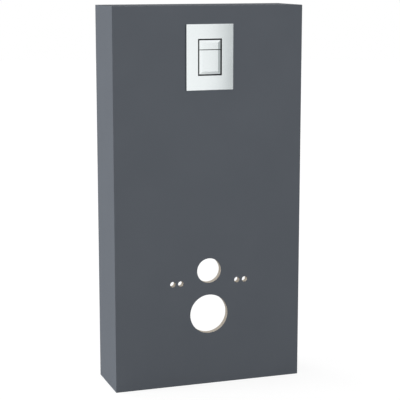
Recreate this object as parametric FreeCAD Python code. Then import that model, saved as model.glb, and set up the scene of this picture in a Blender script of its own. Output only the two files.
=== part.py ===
"""Boxed-in surround of a wall hung toilet frame, open at the back and the floor.

Four mitred fibreboards (front, two sides, top) are glued and screwed to a batten frame behind each
side. Steel angles fix it to the wall and the floor. The front is bored for the waste, the flush pipe
and the two usual pan stud spacings, and carries a flush plate with a small and a large push button.

Millimetres. While the pieces are made, x = 0 is the middle, y = 0 the front face with the wall at
y = casing_depth, and z = 0 the floor. They are written out with the origin on the floor under the
middle of the whole object.
"""
import FreeCAD, Part
import os

Vector = FreeCAD.Vector

# Casing boards
casing_width = 590.0
casing_height = 1150.0
casing_depth = 190.0
board_thickness = 20.0
arris_radius = 1.5

# Battens behind each side board
batten_thickness = 22.0
batten_width = 36.0
middle_rail_height = 575.0

# Pan connections, measured up from the floor
waste_height = 220.0
waste_diameter = 120.0
flush_rise = 135.0
flush_diameter = 76.0
stud_rise = 100.0
stud_diameter = 17.0
narrow_stud_spacing = 180.0
wide_stud_spacing = 230.0

# Steel fixing angles
angle_leg = 34.0
angle_length = 70.0
angle_gauge = 2.5
angle_bend_radius = 4.0
angle_corner_radius = 4.0
angle_screw_diameter = 5.0
angle_screw_spacing = 44.0
angle_anchor_diameter = 9.0
upper_angle_below_top = 190.0
lower_angle_height = 190.0
floor_angle_setback = 105.0

# Flush plate
plate_below_top = 150.0
plate_width = 146.0
plate_height = 194.0
plate_projection = 7.0
plate_wall = 2.0
plate_corner_radius = 2.0
plate_edge_radius = 1.5
well_edge_radius = 0.8
well_width = 74.0
well_height = 108.0
well_corner_radius = 1.5

# Plate carrier in the access cut-out of the front board
access_width = 116.0
access_height = 164.0
access_corner_radius = 5.0
carrier_clearance = 0.75
carrier_clip_clearance = 0.3
carrier_wall = 2.0
carrier_flange = 2.5
carrier_depth = 26.0
carrier_window_margin = 10.0
guide_size = 12.0

# Push buttons
button_gap = 4.0
button_split_gap = 2.0
small_button_height = 27.0
button_lead = 1.0
button_depth = 10.0
button_wall = 2.0
button_bevel_width = 8.0
button_bevel_depth = 3.0
button_travel = 6.0
button_stop_clearance = 5.0
stem_size = 6.0
stem_clearance = 0.3
stem_spacing = 44.0
stem_head_size = 9.5
stem_head_thickness = 2.5
stem_boss_size = 10.0
stem_boss_length = 4.0

# Heights and planes that several pieces share
inner_half_width = casing_width / 2 - board_thickness
inner_height = casing_height - board_thickness
stud_height = waste_height + stud_rise
flush_height = waste_height + flush_rise
plate_middle = casing_height - plate_below_top
plate_front = -plate_projection
button_front = plate_front - button_lead
button_width = well_width - 2 * button_gap
button_block_bottom = plate_middle - well_height / 2 + button_gap
button_block_height = well_height - 2 * button_gap
large_button_height = button_block_height - small_button_height - button_split_gap
small_button_bottom = button_block_bottom + large_button_height + button_split_gap
small_button_middle = small_button_bottom + small_button_height / 2
large_button_middle = button_block_bottom + large_button_height / 2
key_inside = button_front + button_wall
boss_back = key_inside + stem_boss_length
guide_front = boss_back + button_travel + button_stop_clearance
stem_head_front = carrier_depth + stem_clearance
origin_setback = (casing_depth + button_front) / 2

# How far a cutting tool runs past the faces it cuts, and how near counts as the same place
overrun = 1.0
same_place = 0.01


def mitred_board(left, right, bottom, top, mitres):
    """A board with its outer face on the x-z plane and its thickness along y.

    The edges named in mitres are cut at 45 degrees, so that the inner face is smaller by the thickness.
    """
    cut = {edge: board_thickness if edge in mitres else 0.0 for edge in ("left", "right", "bottom", "top")}
    return Part.makeWedge(
        left, 0, bottom, bottom + cut["bottom"], left + cut["left"],
        right, board_thickness, top, top - cut["top"], right - cut["right"])


def block(width, height, front, back, middle, x=0.0):
    """A block between two depths, centred on x and on a height."""
    return Part.makeBox(width, back - front, height, Vector(x - width / 2, front, middle - height / 2))


def rounded_block(width, height, radius, front, back, middle):
    """A block between two depths with its front-to-back edges rounded."""
    plain = block(width, height, front, back, middle)
    return plain.makeFillet(radius, [edge for edge in plain.Edges if edge.BoundBox.YLength > same_place])


def edges_at_depth(shape, depth):
    """The edges of a shape that lie in one plane across the depth."""
    return [
        edge for edge in shape.Edges
        if abs(edge.BoundBox.YMin - depth) < same_place and abs(edge.BoundBox.YMax - depth) < same_place
    ]


def rod(diameter, front, back, middle, x=0.0):
    """A round rod between two depths."""
    return Part.makeCylinder(diameter / 2, back - front, Vector(x, front, middle), Vector(0, 1, 0))


def casing_envelope():
    """The outside of the closed casing, with the arrises that show rounded off."""
    outside = block(casing_width, casing_height, 0.0, casing_depth, casing_height / 2)
    shown = []
    for edge in outside.Edges:
        box = edge.BoundBox
        front_upright = box.YMax < same_place and box.ZLength > same_place
        on_top = box.ZMin > casing_height - same_place
        at_wall = box.YMin > casing_depth - same_place
        if front_upright or (on_top and not at_wall):
            shown.append(edge)
    return outside.makeFillet(arris_radius, shown)


def front_panel():
    half = casing_width / 2
    board = mitred_board(-half, half, 0, casing_height, ("left", "right", "top")).common(casing_envelope())
    holes = [(waste_diameter, 0.0, waste_height), (flush_diameter, 0.0, flush_height)]
    for spacing in (narrow_stud_spacing, wide_stud_spacing):
        holes += [(stud_diameter, side * spacing / 2, stud_height) for side in (-1, 1)]
    back = board_thickness + overrun
    cutters = [rod(diameter, -overrun, back, height, x) for diameter, x, height in holes]
    cutters.append(rounded_block(
        access_width, access_height, access_corner_radius, -overrun, back, plate_middle))
    return board.cut(cutters)


def side_panel(side):
    board = mitred_board(-casing_depth, 0, 0, casing_height, ("right", "top"))
    board.rotate(Vector(0, 0, 0), Vector(0, 0, 1), -90)
    board.translate(Vector(-casing_width / 2, 0, 0))
    if side > 0:
        board = board.mirror(Vector(0, 0, 0), Vector(1, 0, 0))
    return board.common(casing_envelope())


def top_panel():
    half = casing_width / 2
    board = mitred_board(-half, half, 0, casing_depth, ("left", "right", "bottom"))
    board.rotate(Vector(0, 0, 0), Vector(1, 0, 0), -90)
    board.translate(Vector(0, 0, casing_height))
    return board.common(casing_envelope())


def batten(side, front, back, bottom, top):
    """A batten glued to the inner face of a side board, with its free long edges eased."""
    outer_x = side * inner_half_width
    inner_x = side * (inner_half_width - batten_thickness)
    corner = Vector(min(outer_x, inner_x), front, bottom)
    bar = Part.makeBox(batten_thickness, back - front, top - bottom, corner)
    longest = max(back - front, top - bottom)
    eased = []
    for edge in bar.Edges:
        box = edge.BoundBox
        on_inner_face = abs(box.XMin - inner_x) < same_place and abs(box.XMax - inner_x) < same_place
        if on_inner_face and abs(edge.Length - longest) < same_place:
            eased.append(edge)
    return bar.makeFillet(arris_radius, eased)


def side_battens(side, name):
    """The batten frame of one side: two uprights and three rails between them."""
    front = board_thickness
    front_back = front + batten_width
    wall_front = casing_depth - batten_width
    rails = {
        "floor_rail": 0.0,
        "middle_rail": middle_rail_height - batten_width / 2,
        "top_rail": inner_height - batten_width,
    }
    battens = {
        name + "_front_upright": batten(side, front, front_back, 0.0, inner_height),
        name + "_wall_upright": batten(side, wall_front, casing_depth, 0.0, inner_height),
    }
    for rail, bottom in rails.items():
        battens[name + "_" + rail] = batten(side, front_back, wall_front, bottom, bottom + batten_width)
    return battens


def fixing_angle():
    """A steel angle along z: one leg on the y = 0 plane, one on the x = 0 plane, bend at the origin.

    The first leg has one anchor hole, the second two screw holes.
    """
    inside = angle_bend_radius - angle_gauge
    cosine = 0.5 ** 0.5
    outer_mid = angle_bend_radius * (1 - cosine)
    inner_mid = angle_bend_radius - inside * cosine
    start = Vector(angle_leg, 0, 0)
    bend_start = Vector(angle_bend_radius, 0, 0)
    bend_end = Vector(0, angle_bend_radius, 0)
    end = Vector(0, angle_leg, 0)
    inner_end = Vector(angle_gauge, angle_leg, 0)
    inner_bend_end = Vector(angle_gauge, angle_bend_radius, 0)
    inner_bend_start = Vector(angle_bend_radius, angle_gauge, 0)
    inner_start = Vector(angle_leg, angle_gauge, 0)
    profile = Part.Wire([
        Part.makeLine(start, bend_start),
        Part.Arc(bend_start, Vector(outer_mid, outer_mid, 0), bend_end).toShape(),
        Part.makeLine(bend_end, end),
        Part.makeLine(end, inner_end),
        Part.makeLine(inner_end, inner_bend_end),
        Part.Arc(inner_bend_end, Vector(inner_mid, inner_mid, 0), inner_bend_start).toShape(),
        Part.makeLine(inner_bend_start, inner_start),
        Part.makeLine(inner_start, start),
    ])
    angle = Part.Face(profile).extrude(Vector(0, 0, angle_length))
    tips = []
    for edge in angle.Edges:
        box = edge.BoundBox
        across_gauge = abs(edge.Length - angle_gauge) < same_place
        if across_gauge and max(box.XMax, box.YMax) > angle_leg - same_place:
            tips.append(edge)
    angle = angle.makeFillet(angle_corner_radius, tips)
    flat_middle = (angle_bend_radius + angle_leg) / 2
    middle = angle_length / 2
    cutters = [rod(angle_anchor_diameter, -overrun, angle_gauge + overrun, middle, flat_middle)]
    for step in (-1, 1):
        base = Vector(-overrun, flat_middle, middle + step * angle_screw_spacing / 2)
        cutters.append(Part.makeCylinder(
            angle_screw_diameter / 2, angle_gauge + 2 * overrun, base, Vector(1, 0, 0)))
    return angle.cut(cutters)


def set_angle(side, corner_depth, corner_height, lying):
    """The angle turned into the corner between a batten and the wall or floor."""
    angle = fixing_angle()
    origin = Vector(0, 0, 0)
    angle.rotate(origin, Vector(0, 0, 1), 180)
    angle.translate(Vector(0, 0, -angle_length / 2))
    if lying:
        angle.rotate(origin, Vector(1, 0, 0), -90)
    angle.translate(Vector(inner_half_width - batten_thickness, corner_depth, corner_height))
    if side < 0:
        angle = angle.mirror(origin, Vector(1, 0, 0))
    return angle


def wall_angle(side, height):
    return set_angle(side, casing_depth, height, False)


def floor_angle(side):
    return set_angle(side, floor_angle_setback, 0.0, True)


def flush_plate():
    """A shallow tray with its open side on the board and a well for the buttons."""
    tray = rounded_block(plate_width, plate_height, plate_corner_radius, plate_front, 0.0, plate_middle)
    tray = tray.makeFillet(plate_edge_radius, edges_at_depth(tray, plate_front))
    hollow = block(
        plate_width - 2 * plate_wall,
        plate_height - 2 * plate_wall,
        plate_front + plate_wall,
        overrun,
        plate_middle,
    )
    well = rounded_block(
        well_width, well_height, well_corner_radius, plate_front - overrun, overrun, plate_middle)
    plate = tray.cut([hollow, well])
    rim = [
        edge for edge in edges_at_depth(plate, plate_front)
        if abs(edge.CenterOfMass.x) < well_width / 2 + same_place
        and abs(edge.CenterOfMass.z - plate_middle) < well_height / 2 + same_place
    ]
    return plate.makeFillet(well_edge_radius, rim)


def guide_centres():
    """Where the button stems run, as pairs of height and x."""
    heights = (small_button_middle, large_button_middle)
    return [(height, side * stem_spacing / 2) for height in heights for side in (-1, 1)]


def plate_carrier():
    """A moulded tub through the front board, with a flange under the plate and four stem guides."""
    tub_width = access_width - 2 * carrier_clearance
    tub_height = access_height - 2 * carrier_clearance
    flange_margin = 2 * (plate_wall + carrier_clip_clearance)
    floor_front = carrier_depth - carrier_wall
    past_back = carrier_depth + overrun
    flange = block(
        plate_width - flange_margin, plate_height - flange_margin, -carrier_flange, 0.0, plate_middle)
    tub = rounded_block(
        tub_width, tub_height, access_corner_radius, -carrier_flange, carrier_depth, plate_middle)
    inside = rounded_block(
        tub_width - 2 * carrier_wall,
        tub_height - 2 * carrier_wall,
        access_corner_radius - carrier_wall,
        -carrier_flange - overrun,
        floor_front,
        plate_middle,
    )
    guides = [block(guide_size, guide_size, guide_front, carrier_depth, z, x) for z, x in guide_centres()]
    carrier = flange.fuse(tub).cut(inside).fuse(guides).removeSplitter()
    bore = stem_size + 2 * stem_clearance
    cutters = [block(bore, bore, guide_front - overrun, past_back, z, x) for z, x in guide_centres()]
    rod_window = stem_spacing - guide_size - 2 * carrier_wall
    for height, middle in (
        (small_button_height, small_button_middle),
        (large_button_height, large_button_middle),
    ):
        window_height = height - carrier_window_margin
        cutters.append(block(rod_window, window_height, floor_front - overrun, past_back, middle))
    return carrier.cut(cutters)


def key_form(width, bottom, top, front, back, split_above):
    """A block with its front edges bevelled on three sides: on all but the one beside the split."""
    face_half = width / 2 - button_bevel_width
    face_bottom = bottom + (button_bevel_width if split_above else 0.0)
    face_top = top - (0.0 if split_above else button_bevel_width)
    bevel_back = front + button_bevel_depth
    bevelled = Part.makeWedge(
        -face_half, front, face_bottom, bottom, -width / 2,
        face_half, bevel_back, face_top, top, width / 2)
    straight = block(width, top - bottom, bevel_back, back, (bottom + top) / 2)
    return bevelled.fuse(straight).removeSplitter()


def push_button(height, middle, split_above):
    """A hollow bevelled key on two square stems that snap in behind the carrier."""
    bottom = middle - height / 2
    top = middle + height / 2
    key_back = button_front + button_depth
    boss_front = button_front + button_wall / 2
    key = key_form(button_width, bottom, top, button_front, key_back, split_above)
    hollow = key_form(
        button_width - 2 * button_wall,
        bottom + button_wall,
        top - button_wall,
        key_inside,
        key_back + overrun,
        split_above,
    )
    wide = stem_head_size / 2
    narrow = stem_size / 2
    stems = []
    for x in (-stem_spacing / 2, stem_spacing / 2):
        stems.append(block(stem_boss_size, stem_boss_size, boss_front, boss_back, middle, x))
        stems.append(block(stem_size, stem_size, key_inside, stem_head_front, middle, x))
        stems.append(Part.makeWedge(
            x - wide, stem_head_front, middle - wide, middle - narrow, x - narrow,
            x + wide, stem_head_front + stem_head_thickness, middle + wide, middle + narrow, x + narrow))
    return key.cut(hollow).fuse(stems).removeSplitter()


def all_pieces():
    pieces = {
        "front_panel": front_panel(),
        "left_side_panel": side_panel(-1),
        "right_side_panel": side_panel(1),
        "top_panel": top_panel(),
        "plate_carrier": plate_carrier(),
        "flush_plate": flush_plate(),
        "small_flush_button": push_button(small_button_height, small_button_middle, False),
        "large_flush_button": push_button(large_button_height, large_button_middle, True),
    }
    for name, side in (("left", -1), ("right", 1)):
        pieces.update(side_battens(side, name))
        pieces["upper_" + name + "_wall_angle"] = wall_angle(side, casing_height - upper_angle_below_top)
        pieces["lower_" + name + "_wall_angle"] = wall_angle(side, lower_angle_height)
        pieces[name + "_floor_angle"] = floor_angle(side)
    return pieces


os.makedirs("parts", exist_ok=True)
for node, shape in all_pieces().items():
    shape.translate(Vector(0, -origin_setback, 0))
    shape.exportStep("parts/" + node + ".step")
    box = shape.BoundBox
    print(
        node, "solids", len(shape.Solids), "valid", shape.isValid(), "volume", round(shape.Volume),
        "from", [round(value, 2) for value in (box.XMin, box.YMin, box.ZMin)],
        "to", [round(value, 2) for value in (box.XMax, box.YMax, box.ZMax)],
    )
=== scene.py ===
# %% [markdown]
# A boxed-in toilet frame, dressed in Blender
#
# The real thing is a tall casing of mitred fibreboard. It stands against a bathroom wall and hides the
# steel frame and the cistern of a wall hung toilet. It is lacquered dark grey outside and left raw
# inside. Softwood battens stiffen it behind each side, steel angles fix it to the wall and the floor,
# and a satin chrome flush plate with a small and a large key sits near the top.
#
# The construction comes in as a finished frame that is never moved. Here it gets its finishes, its
# screws and a finer flush plate, and a small studio to look at it in.

import math

import bpy
from mathutils import Matrix, Vector


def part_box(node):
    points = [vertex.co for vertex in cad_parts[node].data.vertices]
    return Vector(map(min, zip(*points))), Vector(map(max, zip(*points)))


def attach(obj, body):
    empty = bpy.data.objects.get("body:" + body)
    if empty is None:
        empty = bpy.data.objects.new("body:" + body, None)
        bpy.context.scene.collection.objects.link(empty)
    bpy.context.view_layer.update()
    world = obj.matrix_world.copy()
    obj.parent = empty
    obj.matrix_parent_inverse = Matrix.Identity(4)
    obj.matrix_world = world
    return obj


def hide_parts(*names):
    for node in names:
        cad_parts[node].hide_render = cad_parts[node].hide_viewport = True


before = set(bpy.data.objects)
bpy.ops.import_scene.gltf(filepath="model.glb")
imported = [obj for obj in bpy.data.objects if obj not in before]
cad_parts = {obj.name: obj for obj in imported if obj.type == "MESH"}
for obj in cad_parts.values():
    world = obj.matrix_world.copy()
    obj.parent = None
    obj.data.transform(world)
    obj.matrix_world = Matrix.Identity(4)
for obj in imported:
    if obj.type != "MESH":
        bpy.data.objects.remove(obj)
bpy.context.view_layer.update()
scene = bpy.context.scene
print("pieces of the construction:", len(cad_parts))

# %% [markdown]
# The camera
#
# The picture is taken from the front left, a little above the casing, with a long lens. A long lens
# keeps the tall edges almost parallel, which is how furniture is usually photographed. Its focal length
# is worked out from the picture's width in pixels. The camera is only turned and tilted. Shifting its
# picture would make the tall edges quite parallel, but then the other sides would slip out of the frame.

# %% Set up the camera
picture_width = 400
focal_pixels = 1290
sensor_width = 36
camera_place = (-1.255, -3.690, 1.259)
camera_turn = math.radians(-18.81)
camera_tilt = math.radians(-10.21)
looking_level = math.radians(90)


def deselect_all():
    """Selects nothing, because an operator acts on all that is selected."""
    bpy.ops.object.select_all(action="DESELECT")


deselect_all()
bpy.ops.object.camera_add(location=camera_place, rotation=(looking_level + camera_tilt, 0, camera_turn))
camera = bpy.context.object
camera.name = "studio_camera"
camera.data.sensor_width = sensor_width
camera.data.lens = sensor_width * focal_pixels / picture_width
scene.camera = camera
print("lens in millimetres:", round(camera.data.lens, 1))

# %% [markdown]
# Helpers for shader nodes
#
# Every finish, the floor and the white surroundings are trees of shader nodes. Adding a node by hand
# means three things: choose its kind, set its options, then type a value or pull a wire into each of its
# inputs. add_node does all three in one call, so that a tree reads like a list of what is in it. Math
# and Mix Shader nodes are needed so often that they get helpers of their own.

# %% Helpers for shader nodes
def add_node(tree, kind, inputs=None, **options):
    """One node: options are its settings, inputs are values to type in or sockets to wire up."""
    made = tree.nodes.new(kind)
    for option, value in options.items():
        setattr(made, option, value)
    for socket, value in (inputs or {}).items():
        if isinstance(value, bpy.types.NodeSocket):
            tree.links.new(value, made.inputs[socket])
        else:
            made.inputs[socket].default_value = value
    return made


def calculate(tree, operation, *values):
    """A Math node, with numbers or sockets as its values."""
    return add_node(tree, "ShaderNodeMath", dict(enumerate(values)), operation=operation).outputs[0]


def mix_shaders(tree, share, first, second):
    """A Mix Shader node between two shader nodes."""
    return add_node(tree, "ShaderNodeMixShader", {0: share, 1: first.outputs[0], 2: second.outputs[0]})


def new_material(name):
    """A new material and its node tree, emptied."""
    material = bpy.data.materials.new(name)
    material.use_nodes = True
    material.node_tree.nodes.clear()
    return material, material.node_tree


def show(tree, shader):
    """Wires a shader node to the material's output."""
    add_node(tree, "ShaderNodeOutputMaterial", {"Surface": shader.outputs[0]})


print("ready to make materials:", len(bpy.data.materials), "came with the construction")

# %% [markdown]
# The floor
#
# The casing stands on a sheet of white studio paper. What a lamp does to the paper is kept apart from
# what the camera sees of it. For light that bounces, it is an ordinary pale matt surface. For the camera
# and for reflections it glows almost white, and still darkens a little where the casing keeps the light
# away. A brighter lamp would whiten the paper too, but it would also wash out the casing. From below the
# paper is clear, so that the underside can be looked at as well.

# %% Lay the floor
floor_radius = 14.0
floor_corners = 96
floor_paint = 0.5
paper_glow = 0.86
paper_shade = 0.2


def grey(brightness):
    """A colour without a hue."""
    return brightness, brightness, brightness, 1


def seen_directly(tree):
    """1 for rays from the camera, from glossy reflections and through glass, 0 for bounced light."""
    path = add_node(tree, "ShaderNodeLightPath").outputs
    camera_or_gloss = calculate(tree, "MAXIMUM", path["Is Camera Ray"], path["Is Glossy Ray"])
    return calculate(tree, "MAXIMUM", camera_or_gloss, path["Is Transmission Ray"])


def floor_paper():
    """White paper from above, clear from below."""
    material, tree = new_material("floor_paper")
    matt = add_node(tree, "ShaderNodeBsdfDiffuse", {"Color": grey(floor_paint)})
    glow = add_node(tree, "ShaderNodeEmission", {"Strength": paper_glow})
    shade = add_node(tree, "ShaderNodeBsdfDiffuse", {"Color": grey(paper_shade)})
    paper = add_node(tree, "ShaderNodeAddShader", {0: glow.outputs[0], 1: shade.outputs[0]})
    from_above = mix_shaders(tree, seen_directly(tree), matt, paper)
    clear = add_node(tree, "ShaderNodeBsdfTransparent")
    from_below = add_node(tree, "ShaderNodeNewGeometry").outputs["Backfacing"]
    show(tree, mix_shaders(tree, from_below, from_above, clear))
    return material


deselect_all()
bpy.ops.mesh.primitive_circle_add(vertices=floor_corners, radius=floor_radius, fill_type="NGON")
floor = bpy.context.object
floor.name = "studio_floor"
floor.data.materials.append(floor_paper())
print("floor radius in metres:", floor_radius)

# %% [markdown]
# White surroundings
#
# Beyond the floor the world is white as well, so no horizon shows. The camera and the chrome see it at
# full strength, but as a light it is weaker, because even light from all around makes everything look
# flat. One number between the two would be simpler, but then either the background would turn grey or
# the casing pale. The Standard view shows a colour as it is written.

# %% Make the white surroundings
ambient_light = 0.6
full_white = 1.0


def stretch(tree, value, low, high):
    """A Map Range node: a value that goes from 0 to 1 goes from low to high instead."""
    inputs = {"Value": value, "To Min": low, "To Max": high}
    return add_node(tree, "ShaderNodeMapRange", inputs).outputs[0]


world = bpy.data.worlds.new("studio_world")
world.use_nodes = True
sky = world.node_tree
sky.nodes.clear()
strength = stretch(sky, seen_directly(sky), low=ambient_light, high=full_white)
background = add_node(sky, "ShaderNodeBackground", {"Color": grey(full_white), "Strength": strength})
add_node(sky, "ShaderNodeOutputWorld", {"Surface": background.outputs[0]})
scene.world = world
scene.view_settings.view_transform = "Standard"
print("ambient light:", ambient_light)

# %% [markdown]
# Lamps
#
# The left side of the casing is about twice as bright as its front, so the strongest lamp comes from the
# left. It stands a little behind the front board, so that the plate throws no long shadow over it. A
# weaker lamp from the front right lights the front, and one from behind keeps the inside readable when
# the casing is turned round. Far, wide sun lamps light a tall flat board evenly, where a near softbox
# would leave a bright patch. They stay out of the chrome, which mirrors the white room instead.

# %% Place the lamps
def add_sun(name, towards, brightness, spread):
    """A sun that shines towards a direction, where a brightness of 1 shows a colour as written."""
    deselect_all()
    bpy.ops.object.light_add(type="SUN", rotation=Vector(towards).to_track_quat("-Z", "Y").to_euler())
    lamp = bpy.context.object
    lamp.name = name
    lamp.data.energy = brightness * math.pi
    lamp.data.angle = math.radians(spread)
    lamp.visible_glossy = False
    print(name, "at brightness", brightness)


add_sun("side_light", towards=(0.96, -0.20, -0.16), brightness=0.98, spread=20)
add_sun("front_light", towards=(-0.35, 0.93, -0.10), brightness=0.53, spread=24)
add_sun("back_light", towards=(0.46, -0.84, -0.28), brightness=0.46, spread=30)

# %% [markdown]
# A flag for the chrome
#
# Chrome only looks like chrome when it has something dark to mirror, so studios stand a dark card, a
# flag, just outside the picture. A dark stripe painted on the plate would look right from one side only.
# This card is there for reflections alone: it can't be seen and blocks no light.
#
# A plane is added flat and shaped in edit mode. With no window open, the rotate operator turns the other
# way, so its angles have the opposite sign.

# %% Stand up the flag
flag_tone = (0.45, 0.47, 0.475, 1)
flag_near = Vector((0.47, -0.16, 0.0))
flag_far = Vector((0.43, -1.15, 0.0))
flag_height = 1.5
upright_turn = math.radians(-90)
world_centre = (0, 0, 0)


def flag_card():
    """Dark in reflections, clear to everything else."""
    material, tree = new_material("flag_card")
    reflected = add_node(tree, "ShaderNodeLightPath").outputs["Is Glossy Ray"]
    clear = add_node(tree, "ShaderNodeBsdfTransparent")
    dark = add_node(tree, "ShaderNodeEmission", {"Color": flag_tone, "Strength": 1.0})
    show(tree, mix_shaders(tree, reflected, clear, dark))
    return material


deselect_all()
bpy.ops.mesh.primitive_plane_add(size=1)
flag = bpy.context.object
flag.name = "dark_flag"
bpy.ops.object.mode_set(mode="EDIT")
flag_run = flag_far - flag_near
flag_heading = math.atan2(flag_run.y, flag_run.x)
bpy.ops.transform.resize(value=(flag_run.length, flag_height, 1))
bpy.ops.transform.rotate(value=upright_turn, orient_axis="X", center_override=world_centre)
bpy.ops.transform.rotate(value=-flag_heading, orient_axis="Z", center_override=world_centre)
bpy.ops.transform.translate(value=(flag_near + flag_far) / 2 + Vector((0, 0, flag_height / 2)))
bpy.ops.object.mode_set(mode="OBJECT")
flag.data.materials.append(flag_card())
for corner in flag.data.vertices:
    print("flag corner in metres:", [round(value, 2) for value in corner.co])

# %% [markdown]
# What the finishes share: noise and blends
#
# No real surface has one flat colour. Each finish below starts from noise, an uneven grey whose scale is
# in patches per metre of the piece itself, so that it stays put when the piece moves. The grey then
# blends two near colours or two numbers. Image textures could do the same, but noise stays sharp from
# close by and needs no unwrapping.
#
# A Mix node holds its sockets for numbers and for colours side by side under the same names, so they are
# told apart by their position.

# %% Helpers for noise and blends
mix_number_a, mix_number_b, mixed_number = 2, 3, 0
mix_colour_a, mix_colour_b, mixed_colour = 6, 7, 2


def own_place(tree):
    """Where a point lies on its own piece, in metres."""
    return add_node(tree, "ShaderNodeTexCoord").outputs["Object"]


def noise(tree, place, scale, detail, **more):
    """An uneven grey; more are other inputs of the Noise node."""
    inputs = {"Vector": place, "Scale": scale, "Detail": detail, **more}
    return add_node(tree, "ShaderNodeTexNoise", inputs).outputs["Fac"]


def blend_numbers(tree, share, first, second):
    """The first number where the share is 0, the second where it is 1."""
    inputs = {"Factor": share, mix_number_a: first, mix_number_b: second}
    return add_node(tree, "ShaderNodeMix", inputs).outputs[mixed_number]


def blend_colours(tree, share, first, second):
    """The first colour where the share is 0, the second where it is 1."""
    inputs = {"Factor": share, mix_colour_a: first, mix_colour_b: second}
    return add_node(tree, "ShaderNodeMix", inputs, data_type="RGBA").outputs[mixed_colour]


# %% [markdown]
# What the finishes share: ramps, bumps and surfaces
#
# Where a blend of two colours isn't enough, a ramp gives every grey its own colour. A bump turns a grey
# into relief, which is right for what is too fine to model. The Principled shader takes all of this. It
# does for nearly every surface, from raw wood to metal, so no finish needs another one. A finish goes
# into the material slot of a piece of the construction, because the piece itself is never changed.

# %% Helpers for ramps, bumps and surfaces
def colour_ramp(tree, value, start, end, *between):
    """The colour of a value on a ramp, where each stop is a position and a colour."""
    ramp = add_node(tree, "ShaderNodeValToRGB", {"Fac": value})
    stops = ramp.color_ramp.elements
    stops[0].position, stops[0].color = start
    stops[1].position, stops[1].color = end
    for position, colour in between:
        stops.new(position).color = colour
    return ramp.outputs["Color"]


def fine_bumps(tree, height, strength, depth):
    """Relief from a grey, with its depth in metres."""
    inputs = {"Strength": strength, "Distance": depth, "Height": height}
    return add_node(tree, "ShaderNodeBump", inputs).outputs[0]


def show_surface(tree, looks):
    """Shows a Principled shader with these inputs."""
    show(tree, add_node(tree, "ShaderNodeBsdfPrincipled", looks))


def finish_nodes(material, *names):
    """Puts a finish on pieces of the construction, which keep their shape and place."""
    for name in names:
        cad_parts[name].data.materials.clear()
        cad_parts[name].data.materials.append(material)
    print(material.name, "on", len(names), "pieces")


print("ready to finish", len(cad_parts), "pieces")

# %% [markdown]
# Where the lacquer ends
#
# The casing is sprayed once it is put together, and its holes are bored last, so only the outside is
# lacquered. Two materials on each board would need its faces sorted by hand. One material can tell the two
# apart by place instead: at each point it works out how far the front, the nearer side and the top of the
# casing are, and whatever lies within a hair's breadth of one of them is lacquered.

# %% Where the lacquer ends
casing_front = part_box("front_panel")[0].y
casing_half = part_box("right_side_panel")[1].x
casing_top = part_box("top_panel")[1].z
lacquer_skin = 0.0008


def lacquer_reach(tree, place):
    """1 within the lacquer's skin of the casing's front, sides or top, 0 deeper in."""
    x, y, z = add_node(tree, "ShaderNodeSeparateXYZ", {0: place}).outputs
    from_front = calculate(tree, "SUBTRACT", y, casing_front)
    from_side = calculate(tree, "SUBTRACT", casing_half, calculate(tree, "ABSOLUTE", x))
    from_top = calculate(tree, "SUBTRACT", casing_top, z)
    nearest = calculate(tree, "MINIMUM", calculate(tree, "MINIMUM", from_front, from_side), from_top)
    return calculate(tree, "LESS_THAN", nearest, lacquer_skin)


print("lacquered: front at", round(casing_front, 3), "sides at", round(casing_half, 3),
      "top at", round(casing_top, 3))

# %% [markdown]
# Lacquered fibreboard
#
# All four boards are one material with two looks. Outside is a matt dark grey lacquer: nearly even, with
# a fine orange peel from the spray gun. Inside, on the cut back edges and in the bored holes the pale
# fibreboard is left raw, a felt of short fibres. Two whole shaders could be mixed, but here each input of
# one shader is blended, which is lighter and leaves one plain surface.

# %% Lacquered fibreboard
lacquer_deep = (0.082, 0.091, 0.105, 1)
lacquer_light = (0.094, 0.104, 0.119, 1)
fibre_dark = (0.46, 0.415, 0.35, 1)
fibre_pale = (0.68, 0.635, 0.565, 1)
fibre_roughness = 0.9
patch_share = 0.15
board_gloss = 0.1


def lacquered_board():
    """Dark lacquer outside, raw fibreboard inside."""
    material, tree = new_material("lacquered_board")
    place = own_place(tree)
    outside = lacquer_reach(tree, place)
    clouds = noise(tree, place, scale=7, detail=3)
    orange_peel = noise(tree, place, scale=420, detail=2)
    fibres = noise(tree, place, scale=560, detail=4, Roughness=0.6, Distortion=2.2)
    patches = noise(tree, place, scale=24, detail=4)
    felt = blend_numbers(tree, patch_share, fibres, patches)
    raw = colour_ramp(tree, felt, start=(0.32, fibre_dark), end=(0.68, fibre_pale))
    lacquer = blend_colours(tree, clouds, lacquer_deep, lacquer_light)
    lacquer_roughness = stretch(tree, clouds, low=0.72, high=0.84)
    relief = blend_numbers(tree, outside, fibres, orange_peel)
    show_surface(tree, {
        "Base Color": blend_colours(tree, outside, raw, lacquer),
        "Roughness": blend_numbers(tree, outside, fibre_roughness, lacquer_roughness),
        "Specular IOR Level": board_gloss,
        "Normal": fine_bumps(tree, relief, strength=0.25, depth=0.0004),
    })
    return material


finish_nodes(lacquered_board(), "front_panel", "left_side_panel", "right_side_panel", "top_panel")

# %% [markdown]
# Year rings
#
# A pine batten is sawn out of a log, and its grain is what the saw shows of the log's year rings. So the
# wood starts as a log: a Wave texture in rings round an axis. Noise drawn out along the batten would be
# quicker, but it only gives stripes. A sawtooth profile is right for pine, because each ring darkens
# slowly and then stops at a sharp line. At a scale of 1 the texture makes 20 rings in 2 pi metres, so its
# scale follows from how far apart the rings are. Round a knot the rings are pushed aside, by a push that
# fades out with the distance.

# %% Helpers for year rings
ring_spacing = 0.0042
wave_rings_per_scale = 20 / (2 * math.pi)


def fade_out(tree, value, start, end, most):
    """Falls smoothly from most to 0 while a value rises from start to end."""
    inputs = {"Value": value, "From Min": start, "From Max": end, "To Min": most, "To Max": 0.0}
    return add_node(tree, "ShaderNodeMapRange", inputs, interpolation_type="SMOOTHSTEP").outputs[0]


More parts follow.
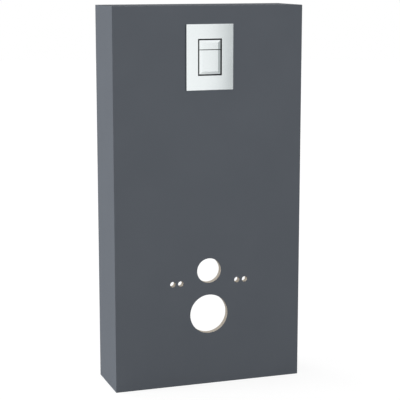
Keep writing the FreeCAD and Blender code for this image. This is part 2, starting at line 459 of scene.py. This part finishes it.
def year_rings(tree, log, direction, push):
    """The grey of a log's rings round an axis, where push moves them outwards or inwards."""
    inputs = {
        "Vector": log,
        "Scale": 1 / (wave_rings_per_scale * ring_spacing),
        "Distortion": 0.0,
        "Phase Offset": push,
    }
    wave = add_node(
        tree, "ShaderNodeTexWave", inputs,
        wave_type="RINGS", rings_direction=direction, wave_profile="SAW")
    return wave.outputs["Fac"]


upright_low, upright_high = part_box("left_front_upright")
print("year rings across an upright:", round((upright_high.y - upright_low.y) / ring_spacing))

# %% [markdown]
# Softwood battens
#
# The log's axis lies a little outside the battens and leans slightly, which makes the long pointed curves
# of flat-sawn wood. The pores are noise drawn out along the grain, and the knots sit in the middle of a
# texture's uneven cells. Modelled knots would hardly show on planed wood. Uprights and rails run in
# different directions, so the same recipe is used twice.

# %% Softwood battens
log_lean = math.radians(1.6)
grain_stretch = 0.04
ring_wander = 9.0
pore_share = 0.45
knots_per_metre = 8
early_wood = (0.66, 0.46, 0.255, 1)
ripening_wood = (0.60, 0.405, 0.21, 1)
late_wood = (0.43, 0.245, 0.105, 1)
pale_pores = (0.70, 0.50, 0.29, 1)
knot_wood = (0.17, 0.075, 0.03, 1)


def planed_pine(name, direction, log_place, lean, along_grain):
    """Pine from a log that runs along a direction."""
    material, tree = new_material(name)
    place = own_place(tree)
    in_log = {"Vector": place, "Location": log_place, "Rotation": lean}
    log = add_node(tree, "ShaderNodeMapping", in_log).outputs[0]
    drawn_out = add_node(tree, "ShaderNodeMapping", {"Vector": place, "Scale": along_grain}).outputs[0]
    knots = {"Vector": place, "Scale": knots_per_metre, "Randomness": 1.0}
    knot_distance = add_node(tree, "ShaderNodeTexVoronoi", knots, feature="SMOOTH_F1").outputs["Distance"]
    knot_push = fade_out(tree, knot_distance, start=0.06, end=0.30, most=7.0)
    wander = noise(tree, drawn_out, scale=30, detail=2)
    push = calculate(tree, "MULTIPLY_ADD", wander, ring_wander, knot_push)
    rings = year_rings(tree, log, direction, push)
    wood = colour_ramp(tree, rings, (0.15, early_wood), (0.97, late_wood), (0.65, ripening_wood))
    pores = noise(tree, drawn_out, scale=650, detail=3)
    pored = blend_colours(tree, calculate(tree, "MULTIPLY", pores, pore_share), wood, pale_pores)
    knot = fade_out(tree, knot_distance, start=0.03, end=0.07, most=0.8)
    show_surface(tree, {
        "Base Color": blend_colours(tree, knot, pored, knot_wood),
        "Roughness": stretch(tree, pores, low=0.5, high=0.75),
        "Normal": fine_bumps(tree, pores, strength=0.3, depth=0.0004),
    })
    return material


sides = ("left", "right")
uprights = [f"{side}_{place}_upright" for side in sides for place in ("front", "wall")]
rails = [f"{side}_{place}_rail" for side in sides for place in ("floor", "middle", "top")]
pine_upright = planed_pine(
    "pine_upright", "Z", log_place=(-0.21, 0.03, 0.0), lean=(log_lean, -log_lean, 0.0),
    along_grain=(1, 1, grain_stretch))
pine_rail = planed_pine(
    "pine_rail", "Y", log_place=(-0.23, 0.0, -0.52), lean=(log_lean, 0.0, log_lean),
    along_grain=(1, grain_stretch, 1))
finish_nodes(pine_upright, *uprights)
finish_nodes(pine_rail, *rails)

# %% [markdown]
# Zinc plated steel
#
# The fixing angles are pressed from zinc plated strip. Bright zinc is a soft, slightly patchy metal:
# bluish in some places, a little yellow in others, with fine scratches from handling. The scratches are
# noise that is drawn out along one direction, which is lighter work than modelling lines.

# %% Zinc plated steel
zinc_blue = (0.40, 0.43, 0.47, 1)
zinc_yellow = (0.55, 0.54, 0.50, 1)
scratch_stretch = (1, 0.06, 1)


def zinc_plate():
    """Bright zinc with patches and scratches."""
    material, tree = new_material("zinc_steel")
    place = own_place(tree)
    patches = noise(tree, place, scale=60, detail=4)
    drawn_out = add_node(tree, "ShaderNodeMapping", {"Vector": place, "Scale": scratch_stretch}).outputs[0]
    scratches = noise(tree, drawn_out, scale=1500, detail=2)
    show_surface(tree, {
        "Base Color": blend_colours(tree, patches, zinc_blue, zinc_yellow),
        "Metallic": 1.0,
        "Roughness": stretch(tree, scratches, low=0.22, high=0.5),
        "Normal": fine_bumps(tree, scratches, strength=0.15, depth=0.0001),
    })
    return material


zinc = zinc_plate()
wall_angles = [f"{height}_{side}_wall_angle" for side in sides for height in ("upper", "lower")]
floor_angles = [f"{side}_floor_angle" for side in sides]
finish_nodes(zinc, *wall_angles, *floor_angles)

# %% [markdown]
# Moulded plastic
#
# Behind the flush plate sits a black plastic carrier. Its mould was spark eroded, which leaves a very
# fine, even sandiness that takes the gloss away. It is what makes the gaps round the keys look dark. The
# sand is far too fine to model, so it is a bump, and broad clouds show how the plastic flowed.

# %% Moulded plastic
plastic_black = (0.022, 0.023, 0.025, 1)
plastic_grey = (0.036, 0.037, 0.039, 1)


def carrier_plastic():
    """Black plastic from a sandy mould."""
    material, tree = new_material("carrier_plastic")
    place = own_place(tree)
    sand = noise(tree, place, scale=1400, detail=2)
    flow = noise(tree, place, scale=18, detail=2)
    show_surface(tree, {
        "Base Color": blend_colours(tree, flow, plastic_black, plastic_grey),
        "Roughness": stretch(tree, sand, low=0.42, high=0.62),
        "Normal": fine_bumps(tree, sand, strength=0.2, depth=0.0001),
    })
    return material


finish_nodes(carrier_plastic(), "plate_carrier")

# %% [markdown]
# Satin chrome
#
# The flush plate and its keys are plastic with a satin chrome coat: a true metal in how it mirrors, but
# blurred. The blur is never quite even, so the roughness drifts over a few centimetres where hands have
# wiped it, with a fine grain on top. A bump would bend the reflections, and on a flat plate that looks
# like cheap foil, so there is none.

# %% Satin chrome
chrome_deep = (0.84, 0.885, 0.89, 1)
chrome_light = (0.90, 0.94, 0.945, 1)
grain_share = 0.4


def satin_chrome():
    """Chrome with an uneven blur."""
    material, tree = new_material("satin_chrome")
    place = own_place(tree)
    wiped = noise(tree, place, scale=26, detail=4)
    grain = noise(tree, place, scale=2600, detail=2)
    blur = blend_numbers(tree, grain_share, wiped, grain)
    show_surface(tree, {
        "Base Color": blend_colours(tree, wiped, chrome_deep, chrome_light),
        "Metallic": 1.0,
        "Roughness": stretch(tree, blur, low=0.12, high=0.22),
    })
    return material


chrome = satin_chrome()
print(chrome.name, "is ready for the plate and its keys")

# %% [markdown]
# The flush plate: a skin with a window
#
# The plate is a shallow tray of thin chromed plastic with a window for the keys. The construction already
# has it; here it is modelled again with finer edges, because metal shows its shape mostly in the
# highlights along them. A tray could be carved out of a block, but it is easier to model its outer skin
# first and thicken that. So a block loses the face towards the wall, the face towards the room is inset,
# and the inset face is squeezed to the window's size and taken out.

# %% Start the plate as an open skin
key_gap = 0.004
towards_room = Vector((0, -1, 0))
towards_wall = Vector((0, 1, 0))
nearly_parallel = 0.9


def add_block(name, low, high):
    """A cube between two corners, with its place in its mesh."""
    low, high = Vector(low), Vector(high)
    deselect_all()
    bpy.ops.mesh.primitive_cube_add(size=1, location=(low + high) / 2, scale=high - low)
    bpy.ops.object.transform_apply(location=True, rotation=True, scale=True)
    bpy.context.object.name = name
    return bpy.context.object


def pick_faces(piece, direction):
    """Goes to edit mode with just those faces selected that look along a direction."""
    bpy.ops.object.mode_set(mode="EDIT")
    bpy.ops.mesh.select_mode(type="FACE")
    bpy.ops.mesh.select_all(action="DESELECT")
    bpy.ops.object.mode_set(mode="OBJECT")
    for face in piece.data.polygons:
        face.select = face.normal.dot(direction) > nearly_parallel
    bpy.ops.object.mode_set(mode="EDIT")


plate_low, plate_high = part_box("flush_plate")
plate_middle = (plate_low + plate_high) / 2
plate_half_height = plate_high.z - plate_middle.z
keys_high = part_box("small_flush_button")[1]
window_half_width = keys_high.x + key_gap
window_half_height = keys_high.z + key_gap - plate_middle.z
rim_width = plate_high.x - window_half_width
squeeze = window_half_height / (plate_half_height - rim_width)

plate = add_block("chrome_flush_plate", plate_low, plate_high)
pick_faces(plate, towards_wall)
bpy.ops.mesh.delete(type="FACE")
pick_faces(plate, towards_room)
bpy.ops.mesh.inset(thickness=rim_width)
bpy.ops.transform.resize(value=(1, 1, squeeze), center_override=plate_middle)
bpy.ops.mesh.delete(type="ONLY_FACE")
bpy.ops.object.mode_set(mode="OBJECT")
print("skin of the plate:", len(plate.data.polygons), "faces")
print("window in metres:", round(2 * window_half_width, 3), "by", round(2 * window_half_height, 3))

# %% [markdown]
# The flush plate: wall and edges
#
# Solidify gives the skin its thickness inwards, so that the outside keeps its size. Then only the edges
# that a hand would feel are rounded: the outline of the plate and the rim of the window. A Bevel modifier
# would round the hidden edges at the back as well, so these are picked by place and bevelled in edit mode.

# %% Thicken the plate
plate_wall = 0.002


def give_wall(piece, thickness):
    """Thickens an open skin inwards."""
    wall = piece.modifiers.new("wall", "SOLIDIFY")
    wall.thickness = thickness
    wall.offset = -1
    wall.use_even_offset = True
    bpy.ops.object.modifier_apply(modifier=wall.name)


give_wall(plate, plate_wall)
print("plate with its wall:", len(plate.data.polygons), "faces")

# %% Round the edges of the plate
plate_rounding = 0.0015
window_rounding = 0.0008
touching = 0.00005


def pick_edges(piece, wanted):
    """Goes to edit mode with just those edges selected whose middle and direction are wanted."""
    bpy.ops.object.mode_set(mode="EDIT")
    bpy.ops.mesh.select_mode(type="EDGE")
    bpy.ops.mesh.select_all(action="DESELECT")
    bpy.ops.object.mode_set(mode="OBJECT")
    corners = piece.data.vertices
    for edge in piece.data.edges:
        start, end = (corners[index].co for index in edge.vertices)
        edge.select = wanted((start + end) / 2, (end - start).normalized())
    bpy.ops.object.mode_set(mode="EDIT")


def round_edges(piece, wanted, radius, segments):
    """Bevels the wanted edges to a round."""
    pick_edges(piece, wanted)
    bpy.ops.mesh.bevel(offset=radius, segments=segments, affect="EDGES")
    bpy.ops.object.mode_set(mode="OBJECT")


def shown_edges(half_width, half_height):
    """A test for the front edges of a rectangle on the plate and those that run back from its corners."""
    def wanted(middle, direction):
        beyond_x = abs(middle.x - plate_middle.x) - half_width
        beyond_z = abs(middle.z - plate_middle.z) - half_height
        on_rectangle = abs(max(beyond_x, beyond_z)) < touching
        at_front = abs(middle.y - plate_low.y) < touching
        runs_back = abs(direction.y) > nearly_parallel
        return on_rectangle and (at_front or runs_back)
    return wanted


round_edges(plate, shown_edges(plate_high.x, plate_half_height), plate_rounding, segments=5)
round_edges(plate, shown_edges(window_half_width, window_half_height), window_rounding, segments=4)
print("plate with rounded edges:", len(plate.data.polygons), "faces")

# %% [markdown]
# The flush plate: shading and hand over
#
# The shading is smoothed over the small rounds only. Smooth shading alone would let the reflections swim
# on the flats near the edges, so weighted normals let the large flat faces decide. Then the plate gets its
# finish, rides on the casing and takes the place of the plainer plate of the construction.

# %% Shade the plate and hand it over
smooth_below = math.radians(25)
flats_only = 100


def smooth_rounds(piece):
    """Smooths the shading over small rounds and keeps it flat on the flats between them."""
    bpy.ops.object.shade_smooth_by_angle(angle=smooth_below)
    flats = piece.modifiers.new("flats", "WEIGHTED_NORMAL")
    flats.keep_sharp = True
    flats.weight = flats_only
    bpy.ops.object.modifier_apply(modifier=flats.name)


def hand_over(piece, material, body):
    """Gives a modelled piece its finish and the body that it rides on."""
    piece.data.materials.clear()
    piece.data.materials.append(material)
    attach(piece, body)
    print(piece.name, "has", len(piece.data.polygons), "faces and rides on", body)


smooth_rounds(plate)
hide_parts("flush_plate")
hand_over(plate, chrome, "casing")

# %% [markdown]
# The stems of a key
#
# Behind each key are two square stems with barbed ends, which snap through the carrier and let the key
# travel. A stem could be three blocks pushed together, but hidden faces would be left inside it. Here it
# is one block that grows: the boss is a block, its back face is inset and pulled out to the stem, widened
# in place to the barb, then pulled out again and tapered.

# %% How to model a stem
key_wall = 0.002
boss_size = 0.010
boss_length = 0.004
stem_size = 0.006
stem_rounding = 0.0003
barb_size = 0.0095
barb_length = 0.0025


def pull(distance):
    """Extrudes the selected face towards the wall."""
    bpy.ops.mesh.extrude_region_move(TRANSFORM_OT_translate={"value": (0, distance, 0)})


def widen(share, centre):
    """Scales the selected face in its own plane about a point."""
    bpy.ops.transform.resize(value=(share, 1, share), center_override=centre)


def soften(piece, radius, segments, least_angle):
    """Rounds every edge that turns by more than an angle in degrees."""
    rounding = piece.modifiers.new("rounding", "BEVEL")
    rounding.width = radius
    rounding.segments = segments
    rounding.limit_method = "ANGLE"
    rounding.angle_limit = math.radians(least_angle)
    bpy.ops.object.modifier_apply(modifier=rounding.name)


def add_stem(name, x, key_front, key_middle, stem_back):
    """A stem from inside the wall of a key's front back to the end of its barb."""
    half = boss_size / 2
    boss_front = key_front + key_wall / 2
    boss_back = key_front + key_wall + boss_length
    centre = (x, 0, key_middle)
    stem = add_block(
        name, (x - half, boss_front, key_middle - half), (x + half, boss_back, key_middle + half))
    pick_faces(stem, towards_wall)
    bpy.ops.mesh.inset(thickness=(boss_size - stem_size) / 2)
    pull(stem_back - barb_length - boss_back)
    pull(0)
    widen(barb_size / stem_size, centre)
    pull(barb_length)
    widen(stem_size / barb_size, centre)
    bpy.ops.object.mode_set(mode="OBJECT")
    soften(stem, stem_rounding, segments=2, least_angle=30)
    return stem


print("a stem goes from", boss_size, "at its boss to", barb_size, "metres at its barb")

# %% [markdown]
# The keys
#
# Each key is a hollow cap with a flat bevel on its three outer sides, so that light breaks along its edge;
# the side towards its neighbour is straight. The cap is again a skin with a wall. Its front face is pulled
# out and drawn in towards the split between the keys, which leaves that side straight. The bevel operator
# would need the fourth edge treated on its own.

# %% Model the keys
bevel_width = 0.008
bevel_depth = 0.003
key_depth = 0.010
key_rounding = 0.0005
stem_spacing = 0.044


def select_only(*pieces):
    """Selects these pieces and nothing else; the last one is active."""
    deselect_all()
    for piece in pieces:
        piece.select_set(True)
    bpy.context.view_layer.objects.active = pieces[-1]


def add_cap(name, low, high, split):
    """The hollow front of a key, straight at the height of the split and bevelled elsewhere."""
    width_left = 1 - 2 * bevel_width / (high.x - low.x)
    height_left = 1 - bevel_width / (high.z - low.z)
    cap = add_block(name, (low.x, low.y + bevel_depth, low.z), (high.x, low.y + key_depth, high.z))
    pick_faces(cap, towards_wall)
    bpy.ops.mesh.delete(type="FACE")
    pick_faces(cap, towards_room)
    pull(-bevel_depth)
    bpy.ops.transform.resize(value=(width_left, 1, height_left), center_override=(0, 0, split))
    bpy.ops.object.mode_set(mode="OBJECT")
    soften(cap, key_rounding, segments=3, least_angle=12)
    give_wall(cap, key_wall)
    return cap


def add_key(name, node, split_above):
    """A cap with two stems, which takes the place of a button of the construction."""
    low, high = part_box(node)
    middle = (low.z + high.z) / 2
    key = add_cap(name, low, high, split=high.z if split_above else low.z)
    stems = [add_stem(name + "_stem", side * stem_spacing / 2, low.y, middle, high.y) for side in (-1, 1)]
    select_only(*stems, key)
    bpy.ops.object.join()
    smooth_rounds(key)
    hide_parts(node)
    hand_over(key, chrome, node)


add_key("small_chrome_key", "small_flush_button", split_above=False)
add_key("large_chrome_key", "large_flush_button", split_above=True)

# %% [markdown]
# Yellow zinc
#
# Chipboard screws are passivated after plating, which leaves a thin film with a golden, slightly greenish
# shimmer. It is a metal like the zinc above, with a warmer pair of colours. The film's patches are only a
# few millimetres wide, so the noise is finer as well.

# %% Yellow zinc for the chipboard screws
film_gold = (0.72, 0.50, 0.18, 1)
film_green = (0.66, 0.60, 0.36, 1)


def yellow_zinc():
    """Zinc under a golden film."""
    material, tree = new_material("yellow_zinc")
    film = noise(tree, own_place(tree), scale=320, detail=3)
    show_surface(tree, {
        "Base Color": blend_colours(tree, film, film_gold, film_green),
        "Metallic": 1.0,
        "Roughness": stretch(tree, film, low=0.25, high=0.45),
    })
    return material


yellow = yellow_zinc()
print(yellow.name, "is ready for the chipboard screws")

# %% [markdown]
# Screw heads
#
# Screws start as cylinders, upright at the origin, where round things are easy. Only the head and a short
# shank are modelled, because the rest is inside the wood. A cross is cut into the head with Boolean, as a
# punch does on the real one. Inset and extrude could sink a cross too, but a round head has no faces in
# that shape to start from.

# %% Helpers for screw heads
screw_corners = 24
rounded_share = 0.6
cross_length = 0.0048
cross_width = 0.0011
cross_depth = 0.0014
downwards = Vector((0, 0, -1))


def add_turned(name, radius, low, high):
    """A cylinder along z between two heights, with its place in its mesh."""
    deselect_all()
    bpy.ops.mesh.primitive_cylinder_add(
        vertices=screw_corners, radius=radius, depth=high - low, location=(0, 0, (low + high) / 2))
    bpy.ops.object.transform_apply(location=True, rotation=True, scale=True)
    bpy.context.object.name = name
    return bpy.context.object


def upper_rim(height):
    """A test for the edges round the top of a head."""
    return lambda middle, direction: middle.z > height - touching


def push_down(length):
    """Extrudes the selected face downwards."""
    bpy.ops.mesh.extrude_region_move(TRANSFORM_OT_translate={"value": (0, 0, -length)})


def punch_cross(screw, head_top):
    """Cuts the driver's cross into the top of a head."""
    low, high = head_top - cross_depth, head_top + cross_depth
    half, thin = cross_length / 2, cross_width / 2
    blades = [
        add_block("cross", (-half, -thin, low), (half, thin, high)),
        add_block("cross_arm", (-thin, -half, low), (thin, half, high)),
    ]
    bpy.context.view_layer.objects.active = screw
    for blade in blades:
        cut = screw.modifiers.new("cross", "BOOLEAN")
        cut.operation = "DIFFERENCE"
        cut.object = blade
        bpy.ops.object.modifier_apply(modifier=cut.name)
    select_only(*blades)
    bpy.ops.object.delete()


print("a cross is", cross_length, "metres long and", cross_depth, "deep")

# %% [markdown]
# One screw of each kind
#
# A pan head screw sits on a steel angle: its head is a low drum with a rounded rim and a shank under it.
# A countersunk chipboard screw sits flush in a batten: its head is a thin disc whose lower end is pulled
# down and drawn in to a cone. A cone primitive would do for the second, but it has no rim to round.

# %% Model one screw of each kind
def pan_head_screw(head_radius, head_height, shank_radius, shank_length):
    """A screw whose head stands on the surface at z = 0."""
    screw = add_turned("pan_head_screw", head_radius, 0, head_height)
    round_edges(screw, upper_rim(head_height), rounded_share * head_height, segments=5)
    pick_faces(screw, downwards)
    bpy.ops.mesh.inset(thickness=head_radius - shank_radius)
    push_down(shank_length)
    bpy.ops.object.mode_set(mode="OBJECT")
    punch_cross(screw, head_height)
    return screw


def countersunk_screw(head_radius, cone_length, shank_radius, proud):
    """A screw whose head stands proud of the surface at z = 0 by a hair."""
    screw = add_turned("countersunk_screw", head_radius, -proud, proud)
    drawn_in = shank_radius / head_radius
    pick_faces(screw, downwards)
    push_down(cone_length)
    bpy.ops.transform.resize(value=(drawn_in, drawn_in, 1), center_override=world_centre)
    bpy.ops.object.mode_set(mode="OBJECT")
    round_edges(screw, upper_rim(proud), rounded_share * proud, segments=2)
    punch_cross(screw, proud)
    return screw


pan_head = pan_head_screw(head_radius=0.0043, head_height=0.0026, shank_radius=0.0021, shank_length=0.0045)
countersunk = countersunk_screw(head_radius=0.0041, cone_length=0.0024, shank_radius=0.0018, proud=0.0004)
for screw_model in (pan_head, countersunk):
    print(screw_model.name, "has", len(screw_model.data.polygons), "faces")

# %% [markdown]
# Setting a screw
#
# Each screw is a copy with a mesh of its own, turned to face out of its surface and moved to its hole.
# Linked copies would be lighter, but then a screw's place couldn't be applied to its mesh. Nobody lines up
# the crosses of screws, so each one is turned a golden angle further than the last, which never repeats.

# %% How to set a screw
golden_angle = math.radians(137.5)
screw_smooth_below = math.radians(30)
screws = []


def set_screw(model, name, place, facing, material):
    """A copy of a screw with its head at a place, facing a direction."""
    select_only(model)
    bpy.ops.object.duplicate(linked=False)
    screw = bpy.context.object
    screws.append(screw)
    screw.name = name
    aim = Vector(facing).to_track_quat("Z", "Y").to_matrix()
    spin = Matrix.Rotation(golden_angle * len(screws), 3, "Z")
    screw.rotation_euler = (aim @ spin).to_euler()
    screw.location = place
    bpy.ops.object.transform_apply(location=True, rotation=True, scale=True)
    bpy.ops.object.shade_smooth_by_angle(angle=screw_smooth_below)
    screw.data.materials.append(material)
    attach(screw, "casing")


print("degrees from one screw to the next:", round(math.degrees(golden_angle), 1))

# %% [markdown]
# Screws in the steel angles
#
# Every angle is held to its batten by two pan head screws. A wall angle stands and has one above the
# other; a floor angle lies and has them side by side. Their places are worked out from the angle's own
# box, so they stay in its holes when the casing changes. A list of places would have to be kept in step.

# %% Set the screws of the angles
angle_gauge = 0.0025
angle_screw_spacing = 0.044
angle_flat_middle = 0.019


def screw_angle(name):
    """The two screws that hold a steel angle to its batten, whichever way the angle lies."""
    low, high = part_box(name)
    middle = (low + high) / 2
    side = math.copysign(1, middle.x)
    batten_face = side * max(abs(low.x), abs(high.x))
    lying = name in floor_angles
    for number, step in enumerate((-0.5, 0.5), start=1):
        along = step * angle_screw_spacing
        place = Vector((
            batten_face - side * angle_gauge,
            middle.y + along if lying else high.y - angle_flat_middle,
            low.z + angle_flat_middle if lying else middle.z + along,
        ))
        set_screw(pan_head, f"{name}_screw_{number}", place, (-side, 0, 0), zinc)


for name in (*wall_angles, *floor_angles):
    screw_angle(name)
print("screws set so far:", len(screws))

# %% [markdown]
# Screws in the battens
#
# Chipboard screws go through the battens into the side boards, and through the front uprights into the
# front board. They are spaced so that none lies under a steel angle or where two battens meet. The floor
# rails have none, because the floor angles are screwed to them. When all are set, the two models that
# they were copied from are deleted.

# %% Set the screws of the battens
upright_shares = (0.08, 0.35, 0.65, 0.93)
rail_shares = (0.5,)
front_board_heights = (0.17, 0.43, 0.72, 0.97)


def screw_batten(name, shares):
    """Screws from a batten into the side board behind it, at shares of the batten's height."""
    low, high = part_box(name)
    middle = (low + high) / 2
    side = math.copysign(1, middle.x)
    inner_face = side * min(abs(low.x), abs(high.x))
    for number, share in enumerate(shares, start=1):
        place = Vector((inner_face, middle.y, low.z + share * (high.z - low.z)))
        set_screw(countersunk, f"{name}_screw_{number}", place, (-side, 0, 0), yellow)


def screw_front_board(name, heights):
    """Screws through the back of a front upright into the front board."""
    low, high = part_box(name)
    for number, height in enumerate(heights, start=1):
        place = Vector(((low.x + high.x) / 2, high.y, height))
        set_screw(countersunk, f"{name}_board_screw_{number}", place, (0, 1, 0), yellow)


for name in uprights:
    screw_batten(name, upright_shares)
for name in rails:
    if "floor" not in name:
        screw_batten(name, rail_shares)
for side in sides:
    screw_front_board(f"{side}_front_upright", front_board_heights)
select_only(pan_head, countersunk)
bpy.ops.object.delete()
print("screws set in all:", len(screws))
